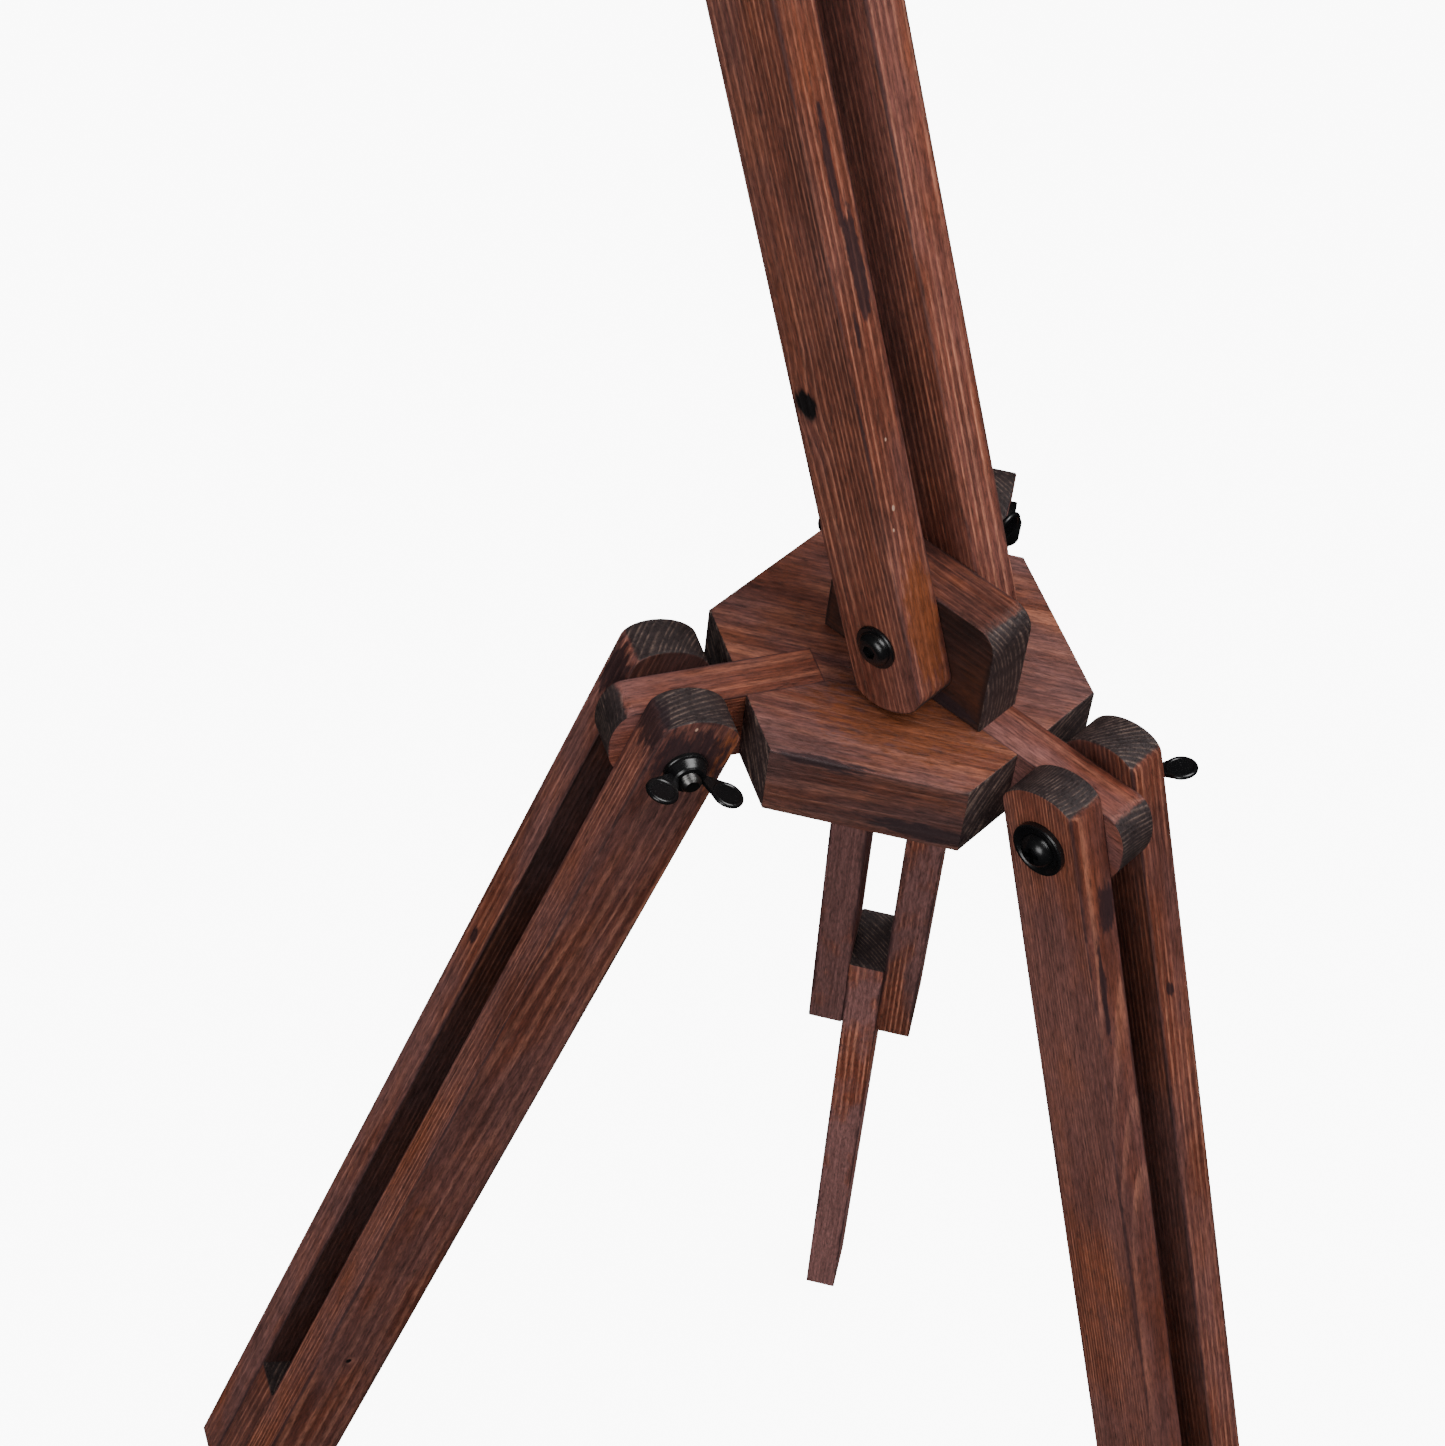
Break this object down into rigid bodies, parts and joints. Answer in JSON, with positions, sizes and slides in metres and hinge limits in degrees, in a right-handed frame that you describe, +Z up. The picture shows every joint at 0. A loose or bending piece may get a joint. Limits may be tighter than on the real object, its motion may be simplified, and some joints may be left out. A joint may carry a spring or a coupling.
{
  "type": "tripod stand",
  "caption": "Dark-stained wooden field tripod with a hexagonal hub, folding twin-slat legs, and a tilting twin-slat mast clamped by black wing nuts.",
  "frame": {"origin": "on the floor, at the middle of the box around the three feet", "axes": "+Z up; -Y towards the front leg; the mast leans towards +Y; X along the mast's pivot bolt"},
  "size_m": [0.694, 0.6366, 1.4036],
  "materials": {
    "stained_wood": "dark reddish-brown stained softwood, satin",
    "stained_wood_plate": "dark reddish-brown stained softwood, satin",
    "stained_wood_arms": "reddish-brown stained softwood, satin",
    "dowel_wood": "bare",
    "black_steel": "gloss black",
    "screw_steel": "zinc plated"
  },
  "bodies": {
    "hub": {"hub_plate": "stained_wood_plate", "hub_arm_front": "stained_wood_arms", "hub_arm_left": "stained_wood_arms", "hub_arm_right": "stained_wood_arms", "mast_block": "stained_wood", "mast_block_screws": "screw_steel"},
    "leg_front": {"leg_front_slat_nut_side": "stained_wood", "leg_front_slat_head_side": "stained_wood", "leg_front_lower_bar": "stained_wood", "leg_front_dowels": "dowel_wood", "leg_front_pivot_bolt": "black_steel", "leg_front_head_washer": "black_steel", "leg_front_nut_washer": "black_steel"},
    "leg_left": {"leg_left_slat_nut_side": "stained_wood", "leg_left_slat_head_side": "stained_wood", "leg_left_lower_bar": "stained_wood", "leg_left_dowels": "dowel_wood", "leg_left_pivot_bolt": "black_steel", "leg_left_head_washer": "black_steel", "leg_left_nut_washer": "black_steel"},
    "leg_right": {"leg_right_slat_nut_side": "stained_wood", "leg_right_slat_head_side": "stained_wood", "leg_right_lower_bar": "stained_wood", "leg_right_dowels": "dowel_wood", "leg_right_pivot_bolt": "black_steel", "leg_right_head_washer": "black_steel", "leg_right_nut_washer": "black_steel"},
    "leg_front_nut": {"leg_front_wing_nut": "black_steel"},
    "leg_left_nut": {"leg_left_wing_nut": "black_steel"},
    "leg_right_nut": {"leg_right_wing_nut": "black_steel"},
    "mast": {"mast_slat_nut_side": "stained_wood", "mast_slat_head_side": "stained_wood", "mast_spacer": "stained_wood", "mast_dowels": "dowel_wood", "mast_pivot_bolt": "black_steel", "mast_nut_washer": "black_steel"},
    "mast_nut": {"mast_wing_nut": "black_steel"}
  },
  "joints": [
    {"name": "leg_front_hinge", "type": "hinge", "parent": "hub", "child": "leg_front", "pos_m": [-0.00062, -0.00308, 0.89497], "axis": [-0.9997, 0.0003, -0.0234], "range_deg": [-23.2, 70.8]},
    {"name": "leg_left_hinge", "type": "hinge", "parent": "hub", "child": "leg_left", "pos_m": [-0.08036, 0.13508, 0.89497], "axis": [0.4999, 0.8658, 0.0234], "range_deg": [-23.2, 70.8]},
    {"name": "leg_right_hinge", "type": "hinge", "parent": "hub", "child": "leg_right", "pos_m": [0.07912, 0.13503, 0.8987], "axis": [0.4999, -0.8661, 0], "range_deg": [-20.2, 73.8]},
    {"name": "leg_front_wing_nut_turn", "type": "hinge", "parent": "leg_front", "child": "leg_front_nut", "pos_m": [0.03037, -0.00309, 0.8957], "axis": [0.9997, -0.0003, 0.0234], "continuous": true},
    {"name": "leg_left_wing_nut_turn", "type": "hinge", "parent": "leg_left", "child": "leg_left_nut", "pos_m": [-0.09586, 0.10824, 0.89425], "axis": [-0.4999, -0.8658, -0.0234], "continuous": true},
    {"name": "leg_right_wing_nut_turn", "type": "hinge", "parent": "leg_right", "child": "leg_right_nut", "pos_m": [0.06362, 0.16188, 0.8987], "axis": [-0.4999, 0.8661, 0], "continuous": true},
    {"name": "mast_hinge", "type": "hinge", "parent": "hub", "child": "mast", "pos_m": [-0.00164, 0.07942, 0.93958], "axis": [-0.9997, 0.0003, -0.0234], "range_deg": [-112.5, 67.5]},
    {"name": "mast_wing_nut_turn", "type": "hinge", "parent": "mast", "child": "mast_nut", "pos_m": [0.03235, 0.07941, 0.94037], "axis": [0.9997, -0.0003, 0.0234], "continuous": true}
  ]
}
